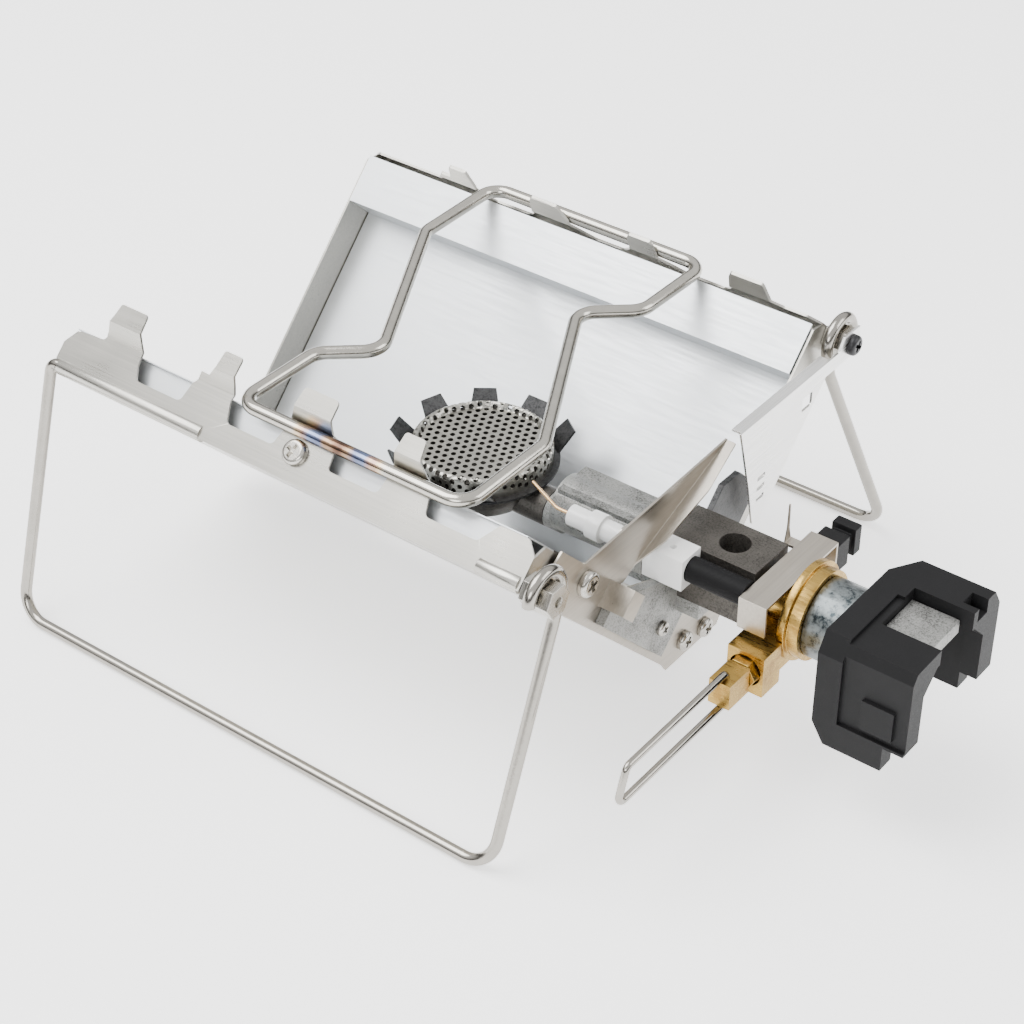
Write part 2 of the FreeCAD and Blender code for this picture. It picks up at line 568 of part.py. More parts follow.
def end_plate():
    """Stainless plate over the front leaf's right end, carried across the valley."""
    x0 = END_PLATE_X
    foot = 8.6
    leaf = [leaf_yz(s, n) for s, n in ((7.5, -0.4), (11.0, 16.2), (60.0, 16.2), (78.0, 24.0))]
    yz = [leaf[0], leaf_yz(109.0, -0.4), (-9.0, foot), (21.0, foot), (26.0, 16.0), (24.0, 26.0),
          (6.0, 36.0), leaf[3], leaf[2], leaf[1]]
    plate = outline([Vector(x0, y, z) for y, z in yz], SHEET, Vector(1, 0, 0))
    holes = [on_leaf(rod(MOUNT_SCREW_R + FIT, Vector(x0 - 1, s, n), Vector(x0 + 2, s, n)), "front")
             for s, n in LEAF_BOLTS]
    holes += [rod(MOUNT_SCREW_R + FIT, Vector(x0 - 1, y, z), Vector(x0 + 2, y, z))
              for y, z in VALLEY_SCREWS]
    near, far, low = LEAF_WIDTH - 59.6, LEAF_WIDTH - 52.0, 7.1       # catch for the carrying clip
    catch = [box(x0 + SHEET / 2, x0 + 10.0, near, near + SHEET, low, CASE_DEPTH),
             box(x0 + 10.0 - SHEET, x0 + 10.0, near, far, low, CASE_DEPTH)]
    plate = union([plate] + [on_leaf(bar, "front") for bar in catch])
    return plate.cut([block_room()] + holes)


def plate_screws():
    """Pan-head screws: shield pivot and the two at the valley, heads on the plate."""
    x0 = END_PLATE_X + LAYER
    back = Vector(-1, 0, 0)
    pivot = on_leaf(screw(4.4, 2.6, MOUNT_SCREW_R, x0 - CASE_LENGTH + 3.0,
                          Vector(x0, *PLATE_SCREW), back), "front")
    small = [screw(3.5, 2.2, MOUNT_SCREW_R, 2 * LAYER - SEAT, Vector(x0, y, z), back)
             for y, z in VALLEY_SCREWS]
    return Part.makeCompound([pivot] + small)


def casting_screws():
    """Two small screws through the burner mount into the leaf's end wall."""
    x0 = END_PLATE_X + LAYER + CASTING + SEAT
    return Part.makeCompound([
        on_leaf(screw(2.6, 1.8, MOUNT_SCREW_R, x0 - CASE_LENGTH + 3.0, Vector(x0, s, n),
                      Vector(-1, 0, 0)), "front")
        for s, n in LEAF_BOLTS[:2]])


def mount_nuts():
    """Nuts inside the leaf's end wall, and behind the end plate at the valley."""
    back = Vector(-1, 0, 0)
    nuts = [on_leaf(hexagon(2.75, 2.2, Vector(CASE_LENGTH - SHEET - SEAT, s, n), back,
                            MOUNT_SCREW_R + FIT), "front") for s, n in LEAF_BOLTS]
    nuts += [hexagon(2.75, SHEET, Vector(END_PLATE_X - SEAT, y, z), back, MOUNT_SCREW_R + FIT)
             for y, z in VALLEY_SCREWS]
    return Part.makeCompound(nuts)


# --- igniter ------------------------------------------------------------------------
SPARK_Y = -14.8
SPARK_HEIGHT = 60.0
CERAMIC_R = 3.6
CERAMIC_START, CERAMIC_END = 158.0, 189.0
SOCKET_END = 204.0
ELECTRODE_R = 0.6


def electrode_wire():
    """Drawn wire from the ceramic, bent over the burner's edge."""
    path = rounded_path([Vector(CERAMIC_START + 6, SPARK_Y, SPARK_HEIGHT),
                         Vector(CERAMIC_START - 6, SPARK_Y, SPARK_HEIGHT),
                         Vector(BURNER_X + CAP_R + 4.2, -9.5, SPARK_HEIGHT + 1.2)], [6.0])
    return wire_form(path, ELECTRODE_R)


def electrode_ceramic():
    """White glazed insulator with a collar; the electrode stands in its left end."""
    a, b = Vector(CERAMIC_START, SPARK_Y, SPARK_HEIGHT), Vector(CERAMIC_END, SPARK_Y, SPARK_HEIGHT)
    body = rod(CERAMIC_R, a, b)
    collar = rod(CERAMIC_R + 1.2, a + Vector(8, 0, 0), a + Vector(13, 0, 0))
    bore = rod(ELECTRODE_R + FIT, a - Vector(1, 0, 0), a + Vector(7, 0, 0))
    return union([body, collar]).cut(bore)


def ceramic_socket():
    """White block that joins the electrode to its lead."""
    y, z = SPARK_Y, SPARK_HEIGHT
    body = box(CERAMIC_END + SEAT, SOCKET_END, y - 5.2, y + 5.0, z - 6.0, z + 5.4)
    return body.cut(rod(1.2, Vector(SOCKET_END - 7, y, z + 2), Vector(SOCKET_END - 7, y, z + 6)))


def lead_sleeve():
    """Black sleeve over the short lead, from the socket to the valve bracket."""
    y, z = SPARK_Y, SPARK_HEIGHT
    return rod(4.3, Vector(SOCKET_END + SEAT, y, z), Vector(BRACKET_START - GAP, y, z))


def electrode_clip():
    """Sheet clip that holds the ceramic against the mixing tube's foot."""
    y, z = SPARK_Y, SPARK_HEIGHT
    a, b = CERAMIC_END - 11, CERAMIC_END - 6
    ring = tube(CERAMIC_R + SEAT + SHEET, CERAMIC_R + SEAT, Vector(a, y, z), Vector(b, y, z))
    tail = box(a, b, y + CERAMIC_R + SEAT, -TUBE_R - SEAT, TUBE_HEIGHT - 6, z)
    shape = union([ring, tail])
    return shape.cut(rod(CERAMIC_R + SEAT, Vector(a - 1, y, z), Vector(b + 1, y, z)))


BRACKET_START = 225.4
BRACKET_END = 235.4
BRACKET_HALF = 21.0
BRACKET_TOP = 63.0
VALVE_CORE_R = 7.0


def valve_bracket():
    """Stainless strap over the valve, flaps bent down at both ends, earth tab behind."""
    t = 1.0
    top = box(BRACKET_START, BRACKET_END, -BRACKET_HALF, BRACKET_HALF, BRACKET_TOP - t, BRACKET_TOP)
    front = box(BRACKET_START, BRACKET_END, -BRACKET_HALF, -BRACKET_HALF + t,
                BRACKET_TOP - 11.5, BRACKET_TOP)
    rear = box(BRACKET_START, BRACKET_END, BRACKET_HALF - t, BRACKET_HALF,
               BRACKET_TOP - 16, BRACKET_TOP)
    back = box(BRACKET_START, BRACKET_START + t, -9, 9, BRACKET_TOP - 20, BRACKET_TOP)
    core = rod(VALVE_CORE_R + SEAT, on_tube(BRACKET_START - 1), on_tube(BRACKET_START + 3))
    spike_x = BRACKET_START - 3.9
    arm = box(spike_x, BRACKET_START + t, 10.6, 14.6, BRACKET_TOP - t, BRACKET_TOP)
    spike = [(10.6, 0), (14.6, 0), (13.0, 6), (12.7, 15), (12.1, 15), (11.9, 6)]
    spike = outline([Vector(spike_x, y, BRACKET_TOP - t + z) for y, z in spike], 0.5, Vector(1, 0, 0))
    return union([top, front, rear, back, arm, spike]).cut(core)


def igniter_case():
    """Dark drum on the rear side of the air block, eight-sided."""
    x0, x1 = END_PLATE_X + LAYER, REAR_SHIELD_X - 4.0
    flat = 11.5
    corner = flat / math.cos(math.pi / 8)
    y, z = BLOCK_HALF + SEAT + flat, TUBE_HEIGHT + 7.0
    angles = [math.pi * (i + 0.5) / 4 for i in range(8)]
    pts = [Vector(x0, y + corner * math.cos(a), z + corner * math.sin(a)) for a in angles]
    return outline(pts, x1 - x0, Vector(1, 0, 0))


IGNITER_END = BRACKET_HALF + 8.0
BUTTON_TRAVEL = 3.5
BUTTON_HALF = 3.0
BUTTON_X = (BRACKET_START + BRACKET_END) / 2
BUTTON_HEIGHT = 55.0


def igniter_housing():
    """Black moulded box on the bracket's rear flap; the button slides in it along Y."""
    x, z, room = BUTTON_X, BUTTON_HEIGHT, BUTTON_HALF + 2 * FIT
    body = box(x - 4.6, x + 4.6, BRACKET_HALF + SEAT, IGNITER_END, z - 5.6, z + 5.6)
    return body.cut(box(x - room, x + room, BRACKET_HALF + 1.6, IGNITER_END + 1, z - room, z + room))


def igniter_button():
    """Square stem in the housing, under a wider cap."""
    x, z, b = BUTTON_X, BUTTON_HEIGHT, BUTTON_HALF
    under_cap = IGNITER_END + BUTTON_TRAVEL + 0.4
    stem = box(x - b, x + b, BRACKET_HALF + 1.8 + BUTTON_TRAVEL, under_cap, z - b, z + b)
    cap = box(x - 4.4, x + 4.4, under_cap, under_cap + 4.0, z - 5.2, z + 5.2)
    return union([stem, cap])


def igniter_spring():
    """Closed solid of the return spring under the button."""
    return tube(2.2, 1.4, Vector(BUTTON_X, BRACKET_HALF + 1.7, BUTTON_HEIGHT),
                Vector(BUTTON_X, BRACKET_HALF + 1.75 + BUTTON_TRAVEL, BUTTON_HEIGHT))


# --- valve and regulator ------------------------------------------------------------
VALVE_LOW, VALVE_HIGH = SPINDLE_HEIGHT - 8.0, SPINDLE_HEIGHT + 5.5
VALVE_FRONT = -24.0
VALVE_HALF = 6.6
VALVE_LIP = 3.0             # round the gland
GLAND_R = 4.8
GLAND_LENGTH = 6.0
SEAL_Y = VALVE_FRONT - GLAND_LENGTH / 2
GAS_WAY_R = 1.2
FLANGE_START = VALVE_X + 4.0
FLANGE_END = FLANGE_START + 6.6
HEAD_START = VALVE_FRONT - GLAND_LENGTH - GAP - SEAT
HEAD_LENGTH = 11.0
HEAD_HALF_X = 3.8
HEAD_HALF_Z = 4.6
HANDLE_PIVOT_Y = HEAD_START - HEAD_LENGTH + 3.4
HANDLE_DEPTH = 3.0
STEM_R = 3.0
STEM_TIP_R = 2.4
STEM_SEAT = HOLDER_START + 15.6
REGULATOR_END = HOLDER_START + 6.6
CHAMBER_R = REGULATOR_R - 4.4
BOSS_R = 8.6


def valve_body():
    """Brass: horizontal core and the squared valve block at its front."""
    core = rod(VALVE_CORE_R, on_tube(BLOCK_END + SEAT), on_tube(FLANGE_START - SEAT))
    square = box(VALVE_X - 6.2, FLANGE_START - SEAT, VALVE_FRONT, 2.0, VALVE_LOW, VALVE_HIGH)
    front = box(VALVE_X - VALVE_HALF, VALVE_X + VALVE_HALF, VALVE_FRONT - VALVE_LIP, -FLANGE_R - GAP,
                VALVE_LOW, VALVE_HIGH + 1.5)
    recess = rod(GLAND_R / math.cos(math.radians(30)) + SEAT, on_spindle(VALVE_FRONT - 9),
                 on_spindle(VALVE_FRONT))
    body = union([core, square, front]).cut(recess)
    bore = rod(SPINDLE_R + FIT, on_spindle(VALVE_FRONT - 1), on_spindle(-9.0))
    gas = rod(GAS_WAY_R, on_tube(BLOCK_END - 1), on_tube(FLANGE_START + 1))
    drop = rod(GAS_WAY_R, on_spindle(-6), on_tube(VALVE_X))
    return body.cut([bore, gas, drop])


def on_spindle(y):
    return Vector(VALVE_X, y, SPINDLE_HEIGHT)


def valve_gland():
    """Hexagonal gland nut with the groove of the spindle's O-ring inside."""
    start = on_spindle(VALVE_FRONT - SEAT)
    groove = tube(SPINDLE_R + 1.4, SPINDLE_R - 1, on_spindle(SEAL_Y - 0.75), on_spindle(SEAL_Y + 0.75))
    return hexagon(GLAND_R, GLAND_LENGTH, start, Vector(0, -1, 0), SPINDLE_R + FIT).cut(groove)


def spindle():
    """Needle spindle with a squared head, cross-drilled for the wire handle."""
    x, z = VALVE_X, SPINDLE_HEIGHT
    shaft = rod(SPINDLE_R, on_spindle(-13.0), on_spindle(HEAD_START))
    needle = Part.makeCone(SPINDLE_R, 0.6, 3.6, on_spindle(-13.0), Vector(0, 1, 0))
    head = box(x - HEAD_HALF_X, x + HEAD_HALF_X, HEAD_START - HEAD_LENGTH, HEAD_START,
               z - HEAD_HALF_Z, z + HEAD_HALF_Z)
    r = HANDLE_WIRE_R + FIT
    holes = [rod(r, Vector(x, HANDLE_PIVOT_Y, z + s * (HEAD_HALF_Z + 1)),
                 Vector(x, HANDLE_PIVOT_Y, z + s * (HEAD_HALF_Z - HANDLE_DEPTH - GAP)))
             for s in (-1, 1)]
    return union([shaft, needle, head]).cut(holes)


def spindle_seal():
    """O-ring round the spindle, in the gland's groove."""
    return Part.makeTorus(SPINDLE_R + 0.7, 0.6, on_spindle(SEAL_Y), Vector(0, 1, 0))


def handle():
    """Bent wire loop whose two ends sit in the spindle head's cross holes."""
    x, z = VALVE_X, SPINDLE_HEIGHT
    reach = HEAD_HALF_Z + GAP + HANDLE_WIRE_R
    inner = HEAD_HALF_Z - HANDLE_DEPTH
    tip = HANDLE_PIVOT_Y - HANDLE_LENGTH
    points = [Vector(x, HANDLE_PIVOT_Y, z + inner), Vector(x, HANDLE_PIVOT_Y, z + reach),
              Vector(x, tip, z + reach), Vector(x, tip - 4.5, z - reach),
              Vector(x, HANDLE_PIVOT_Y, z - reach), Vector(x, HANDLE_PIVOT_Y, z - inner)]
    return wire_form(rounded_path(points, [1.5, 2.4, 2.4, 1.5]), HANDLE_WIRE_R)


def regulator_flange():
    """Brass ring with stepped rims, between valve body and regulator."""
    a, mid, b = FLANGE_START, FLANGE_START + 2.6, FLANGE_END
    wide = rod(FLANGE_R, on_tube(a), on_tube(mid))
    step = rod(FLANGE_R - 1.6, on_tube(mid), on_tube(b))
    way = rod(GAS_WAY_R, on_tube(a - 1), on_tube(b + 1))
    groove = tube(FLANGE_R - 4.2, FLANGE_R - 7.4, on_tube(b - 2.4), on_tube(b + 1))
    return union([wide, step]).cut([way, groove])


def regulator_housing():
    """Zinc housing from the flange to the inlet side of the holder."""
    body = rod(REGULATOR_R, on_tube(FLANGE_END + SEAT), on_tube(REGULATOR_END))
    boss = rod(BOSS_R, on_tube(REGULATOR_END - 0.6), on_tube(REGULATOR_END + 6.4))
    room = rod(CHAMBER_R, on_tube(FLANGE_END - 1), on_tube(HOLDER_START - 1.0))
    port = rod(STEM_R + FIT, on_tube(HOLDER_START - 3), on_tube(REGULATOR_END + 7.4))
    return union([body, boss]).cut([room, port])


def diaphragm():
    """Rubber disc across the regulator's chamber."""
    return rod(CHAMBER_R - 0.4, on_tube(FLANGE_END + 1.2), on_tube(FLANGE_END + 2.0))


def regulator_spring():
    """Closed solid of the coil spring behind the diaphragm."""
    return tube(5.0, 3.8, on_tube(FLANGE_END + 2.1), on_tube(HOLDER_START - 1.1))


def inlet_stem():
    """Hollow brass stem that opens the cartridge's valve."""
    body = rod(STEM_R, on_tube(HOLDER_START - 2.0), on_tube(STEM_SEAT))
    tip = rod(STEM_TIP_R, on_tube(STEM_SEAT), on_tube(STEM_SEAT + 7.0))
    return union([body, tip]).cut(rod(0.9, on_tube(HOLDER_START - 3), on_tube(HOLDER_END)))


def inlet_seal():
    """Ring that the cartridge's valve seals on."""
    return Part.makeTorus(STEM_R + 1.15, 1.0, on_tube(STEM_SEAT - 1.4), Vector(1, 0, 0))


# --- cartridge holder ---------------------------------------------------------------
HOLDER_BACK = 4.5
HOLDER_LOW = 27.5
HOLDER_SKIN = 1.2           # depth of the recessed panels
HOLDER_BAND = 8.5           # width of the raised band at the back
TONGUE_HALF = 8.6


def cartridge_holder():
    """Black moulded horseshoe that takes the cartridge's collar, open below and in +X."""
    x0, x1, w = HOLDER_START, HOLDER_END, HOLDER_HALF
    plan = [(x0, -w), (x1, -w), (x1, w), (x0 + 8.5, w), (x0, w - 14)]
    body = outline([Vector(x, y, HOLDER_LOW) for x, y in plan], HOLDER_TOP - HOLDER_LOW,
                   Vector(0, 0, 1))
    corner = ((w + 1, HOLDER_TOP + 1), (w + 1, HOLDER_TOP - 8), (w - 4.6, HOLDER_TOP + 1))
    cuts = [outline([Vector(x0 - 1, side * y, z) for y, z in corner], HOLDER_LENGTH + 2,
                    Vector(1, 0, 0)) for side in (1, -1)]
    heel = ((x0 - 1, HOLDER_LOW - 1), (x0 + 5, HOLDER_LOW - 1), (x0 - 1, HOLDER_LOW + 9))
    cuts.append(outline([Vector(x, -w - 1, z) for x, z in heel], 2 * w + 2, Vector(0, 1, 0)))
    cuts.append(box(x0 + 24.5, x1 + 1, -w - 1, w + 1, HOLDER_LOW - 1, HOLDER_LOW + 9))
    panel = box(x0 + HOLDER_BAND, x1 + 1, -w - 1, -w + HOLDER_SKIN, HOLDER_LOW + 10, HOLDER_TOP + 1)
    raised = box(x0 + 16, x0 + 27, -w - 2, -w + HOLDER_SKIN + 1, HOLDER_LOW + 12.5, HOLDER_LOW + 23.5)
    cuts.append(panel.cut(raised))
    cuts.append(box(x0 + HOLDER_BAND, x1 + 1, -w - 1, 4.0, HOLDER_TOP - HOLDER_SKIN, HOLDER_TOP + 1))
    cuts.append(box(x0 + 26, x1 + 1, 12.5, 18.4, HOLDER_TOP - 5, HOLDER_TOP + 1))
    inside_x = x0 + HOLDER_BACK
    groove = horseshoe(COLLAR_HALF, COLLAR_TOP, inside_x + 6.0, x1 - 6.0)
    mouth = horseshoe(COLLAR_HALF - 2.6, COLLAR_TOP - 2.2, inside_x, x1 + 1)
    notch_half = TONGUE_HALF + 1.2
    notch = box(x0 + 11.0, x1 + 1, -notch_half, notch_half, TUBE_HEIGHT, HOLDER_TOP + 1)
    neck = rod(REGULATOR_R + SEAT, on_tube(x0 - 1), on_tube(REGULATOR_END + SEAT))
    cut_back = box(x0 - 1, inside_x + 0.01, -10.0, 10.0, HOLDER_LOW - 1, HOLDER_LOW + 12)
    return body.cut(cuts + [groove, mouth, notch, neck, cut_back])


def horseshoe(half, top, x0, x1):
    """A cavity with sloped top corners and an open foot."""
    corner = half * 0.38
    low = HOLDER_LOW - 1
    yz = [(-half, low), (half, low), (half, top - corner), (half - corner, top),
          (-half + corner, top), (-half, top - corner)]
    return outline([Vector(x0, y, z) for y, z in yz], x1 - x0, Vector(1, 0, 0))


def holder_tongue():
    """Zinc tongue that keys the cartridge's notch, screwed above the inlet."""
    x0 = REGULATOR_END + SEAT
    low = TUBE_HEIGHT + BOSS_R + SEAT
    lug = box(x0 + 4.5, x0 + 21.0, -TONGUE_HALF, TONGUE_HALF, low, TUBE_HEIGHT + 13.4)
    root = box(x0, x0 + 5.0, -TONGUE_HALF, TONGUE_HALF, low, COLLAR_TOP - 2.2 - SEAT)
    return union([lug, root])


PARTS = {
    "front_case": case_leaf("front", FRONT_RIM),
    "rear_case": case_leaf("rear", REAR_RIM),
    "front_liner": liner("front"),
    "rear_liner": liner("rear"),
    "hinge_leaves_front": hinge_leaf("front"),
    "hinge_leaves_rear": hinge_leaf("rear"),
    "hinge_pins": hinge_pins(),
    "rim_screw": rim_screw(),
    "rim_nut": rim_nut(),
    "front_leg": leg("front"),
    "rear_leg": leg("rear"),
    "front_standoff": standoff("front"),
    "rear_standoff": standoff("rear"),
    "standoff_bolts": standoff_bolts(),
    "pot_support": pot_support(),
    "front_shield": front_shield(),
    "rear_shield": rear_shield(),
    "burner_cap": burner_cap(),
    "burner_cup": burner_cup(),
    "petal_ring": petal_ring(),
    "mixing_tube": mixing_tube(),
    "air_block": air_block(),
    "gas_jet": gas_jet(),
    "burner_mount": burner_mount(),
    "end_plate": end_plate(),
    "plate_screws": plate_screws(),
    "casting_screws": casting_screws(),
    "mount_nuts": mount_nuts(),
    "electrode_wire": electrode_wire(),
    "electrode_ceramic": electrode_ceramic(),
    "ceramic_socket": ceramic_socket(),
    "lead_sleeve": lead_sleeve(),
    "electrode_clip": electrode_clip(),
    "igniter_case": igniter_case(),
    "igniter_housing": igniter_housing(),
    "igniter_button": igniter_button(),
    "igniter_spring": igniter_spring(),
    "valve_bracket": valve_bracket(),
    "valve_body": valve_body(),
    "valve_gland": valve_gland(),
    "spindle": spindle(),
    "spindle_seal": spindle_seal(),
    "handle": handle(),
    "regulator_flange": regulator_flange(),
    "regulator_housing": regulator_housing(),
    "diaphragm": diaphragm(),
    "regulator_spring": regulator_spring(),
    "inlet_stem": inlet_stem(),
    "inlet_seal": inlet_seal(),
    "cartridge_holder": cartridge_holder(),
    "holder_tongue": holder_tongue(),
}

os.makedirs("parts", exist_ok=True)
for name, shape in PARTS.items():
    placed = shape.copy()
    placed.translate(Vector(-ORIGIN_X, 0, 0))
    placed.exportStep("parts/" + name + ".step")
    print(name, len(placed.Solids), placed.isValid(), round(placed.Volume, 1))
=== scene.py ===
import math

import bmesh
import bpy
from mathutils import Matrix, Vector


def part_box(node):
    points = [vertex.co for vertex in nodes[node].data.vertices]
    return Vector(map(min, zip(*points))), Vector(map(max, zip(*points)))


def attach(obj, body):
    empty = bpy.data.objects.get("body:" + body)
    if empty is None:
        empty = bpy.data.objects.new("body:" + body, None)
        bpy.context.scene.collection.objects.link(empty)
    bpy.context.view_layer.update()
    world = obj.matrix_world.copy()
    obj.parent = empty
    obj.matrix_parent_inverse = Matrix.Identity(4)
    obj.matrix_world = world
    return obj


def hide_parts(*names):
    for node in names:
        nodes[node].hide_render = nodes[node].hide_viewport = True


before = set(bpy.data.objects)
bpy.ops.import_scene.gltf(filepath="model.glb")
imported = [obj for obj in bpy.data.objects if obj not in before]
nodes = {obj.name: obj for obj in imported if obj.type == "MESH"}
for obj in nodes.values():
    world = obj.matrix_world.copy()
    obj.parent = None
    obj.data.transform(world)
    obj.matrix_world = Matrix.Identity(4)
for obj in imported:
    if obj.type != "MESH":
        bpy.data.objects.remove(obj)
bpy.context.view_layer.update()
MM = 0.001

# --- Studio -------------------------------------------------------------------------
# A white sweep with soft boxes over it, as for a catalogue picture of bright steel.
# The camera looks down on the stove from its valve end, through a long lens.
LENS = 85.3
EYE = Vector((0.37775, -0.52001, 0.52666))
LOOK = Vector((-0.486, 0.636, -0.600))
SENSOR = 36                 # millimetres
SWEEP_SIZE = 8              # metres
SWEEP_GLOW = 1.1            # lifts the floor towards white
SKY_STRENGTH = 1.35
HORIZON = 0.45              # grey of the sky below, and above it the stops' greys
SKY_STOPS = ((0.05, 0.07), (0.24, 0.22), (0.42, 1.0))
AIM = (0, 0, 0.05)
SOFT_BOXES = {              # place, width and height in metres, watts
    "key_box": ((-0.5, -0.3, 1.1), (0.9, 0.9), 20),
    "side_box": ((0.9, 0.5, 0.7), (0.7, 0.7), 6),
    "front_box": ((0.3, -1.0, 0.55), (0.6, 0.35), 4)}


def soft_box(name, place, size, power):
    data = bpy.data.lights.new(name, "AREA")
    data.shape = "RECTANGLE"
    data.size, data.size_y = size
    data.energy = power
    lamp = bpy.data.objects.new(name, data)
    bpy.context.collection.objects.link(lamp)
    lamp.location = place
    lamp.rotation_euler = (Vector(AIM) - Vector(place)).to_track_quat("-Z", "Y").to_euler()


def sweep_material():
    mat = bpy.data.materials.new("white_sweep")
    mat.use_nodes = True
    shader = mat.node_tree.nodes["Principled BSDF"]
    shader.inputs["Base Color"].default_value = (0.96, 0.96, 0.96, 1)
    shader.inputs["Roughness"].default_value = 0.9
    shader.inputs["Specular IOR Level"].default_value = 0.1
    shader.inputs["Emission Color"].default_value = (1, 1, 1, 1)
    shader.inputs["Emission Strength"].default_value = SWEEP_GLOW
    return mat


def studio_world():
    """Bright overhead, grey towards the horizon, so that steel has something to show."""
    world = bpy.data.worlds.new("studio")
    bpy.context.scene.world = world
    world.use_nodes = True
    tree = world.node_tree
    coords = tree.nodes.new("ShaderNodeTexCoord")
    split = tree.nodes.new("ShaderNodeSeparateXYZ")
    ramp = tree.nodes.new("ShaderNodeValToRGB")
    ramp.color_ramp.elements[0].position = 0.0
    ramp.color_ramp.elements[0].color = (HORIZON, HORIZON, HORIZON, 1)
    ramp.color_ramp.elements[1].position = 0.9
    ramp.color_ramp.elements[1].color = (1.0, 1.0, 1.0, 1)
    for position, grey in SKY_STOPS:
        stop = ramp.color_ramp.elements.new(position)
        stop.color = (grey, grey, grey, 1)
    tree.links.new(coords.outputs["Generated"], split.inputs[0])
    tree.links.new(split.outputs["Z"], ramp.inputs["Fac"])
    tree.links.new(ramp.outputs["Color"], tree.nodes["Background"].inputs["Color"])
    tree.nodes["Background"].inputs["Strength"].default_value = SKY_STRENGTH


camera_data = bpy.data.cameras.new("camera")
camera_data.lens = LENS
camera_data.sensor_width = SENSOR
camera = bpy.data.objects.new("camera", camera_data)
bpy.context.collection.objects.link(camera)
camera.location = EYE
camera.rotation_euler = LOOK.to_track_quat("-Z", "Y").to_euler()
bpy.context.scene.camera = camera

bpy.ops.mesh.primitive_plane_add(size=SWEEP_SIZE)
floor = bpy.context.object
floor.name = "sweep"
floor.data.materials.append(sweep_material())
studio_world()
for name, (place, size, power) in SOFT_BOXES.items():
    soft_box(name, place, size, power)


# --- Case leaves --------------------------------------------------------------------
# Two folded trays of 0.8 mm stainless sheet, ground along their length, with notched
# rims whose tabs interlock when the stove is shut. Edges are softly deburred.
def shader_of(name):
    mat = bpy.data.materials.new(name)
    mat.use_nodes = True
    return mat, mat.node_tree, mat.node_tree.nodes["Principled BSDF"]


def object_noise(tree, stretch, scale, detail=4.0, roughness=0.55):
    """Noise on the piece's own coordinates, stretched along the grain."""
    coords = tree.nodes.new("ShaderNodeTexCoord")
    mapping = tree.nodes.new("ShaderNodeMapping")
    mapping.inputs["Scale"].default_value = stretch
    noise = tree.nodes.new("ShaderNodeTexNoise")
    noise.inputs["Scale"].default_value = scale
    noise.inputs["Detail"].default_value = detail
    noise.inputs["Roughness"].default_value = roughness
    tree.links.new(coords.outputs["Object"], mapping.inputs["Vector"])
    tree.links.new(mapping.outputs["Vector"], noise.inputs["Vector"])
    return noise.outputs["Fac"]


def spread(tree, source, low, high, start=0.3, end=0.7):
    node = tree.nodes.new("ShaderNodeMapRange")
    node.inputs["From Min"].default_value = start
    node.inputs["From Max"].default_value = end
    node.inputs["To Min"].default_value = low
    node.inputs["To Max"].default_value = high
    tree.links.new(source, node.inputs["Value"])
    return node.outputs["Result"]


def ramp_of(tree, source, stops):
    node = tree.nodes.new("ShaderNodeValToRGB")
    elements = node.color_ramp.elements
    elements[0].position, elements[0].color = stops[0][0], (*stops[0][1], 1)
    elements[1].position, elements[1].color = stops[-1][0], (*stops[-1][1], 1)
    for position, colour in stops[1:-1]:
        elements.new(position).color = (*colour, 1)
    tree.links.new(source, node.inputs["Fac"])
    return node.outputs["Color"]


def calc(tree, operation, *values):
    """One maths node; numbers are set on its sockets, outputs are linked."""
    node = tree.nodes.new("ShaderNodeMath")
    node.operation = operation
    for socket, value in zip(node.inputs, values):
        if isinstance(value, (int, float)):
            socket.default_value = value
        else:
            tree.links.new(value, socket)
    return node.outputs[0]


def bump(tree, shader, source, strength, depth):
    node = tree.nodes.new("ShaderNodeBump")
    node.inputs["Strength"].default_value = strength
    node.inputs["Distance"].default_value = depth
    tree.links.new(source, node.inputs["Height"])
    tree.links.new(node.outputs["Normal"], shader.inputs["Normal"])


def shade(colour, by):
    return tuple(min(1.0, c * by) for c in colour)


GRINDING_CONTRAST = 0.10
SEAM = 0.01 * MM            # closes the seams of a tessellated solid
EDGE_ANGLE = math.radians(40)


def ground_steel(name, tint, grain, rough=(0.24, 0.42)):
    """Satin sheet steel: fine grinding lines along the grain and faint cloudy wear."""
    mat, tree, shader = shader_of(name)
    lines = object_noise(tree, grain, 1.0, 5.0, 0.65)
    clouds = object_noise(tree, (1, 1, 1), 38.0, 3.0)
    tree.links.new(ramp_of(tree, lines, [(0.3, shade(tint, 1 - GRINDING_CONTRAST)),
                                         (0.7, shade(tint, 1 + GRINDING_CONTRAST))]),
                   shader.inputs["Base Color"])
    total = calc(tree, "MULTIPLY_ADD", lines, 0.6, spread(tree, clouds, 0.0, 0.4))
    tree.links.new(spread(tree, total, *rough, 0.25, 0.85), shader.inputs["Roughness"])
    bump(tree, shader, lines, 0.12, 0.00004)
    shader.inputs["Metallic"].default_value = 1.0
    shader.inputs["Anisotropic"].default_value = 0.35
    return mat


def finish_piece(piece, mat, edge=0.15 * MM, segments=2):
    """Material, closed seams and small edge rounds for a frame piece or a new one."""
    piece.data.materials.clear()
    piece.data.materials.append(mat)
    weld = piece.modifiers.new("seams", "WELD")
    weld.merge_threshold = SEAM
    if edge:
        rounds = piece.modifiers.new("edges", "BEVEL")
        rounds.width = edge
        rounds.segments = segments
        rounds.limit_method = "ANGLE"
        rounds.angle_limit = EDGE_ANGLE
        rounds.use_clamp_overlap = True
        rounds.harden_normals = True


case_steel = ground_steel("case_steel", (0.46, 0.447, 0.41), (25, 1400, 1400))
for leaf in ("front_case", "rear_case"):
    finish_piece(nodes[leaf], case_steel, 0.12 * MM)


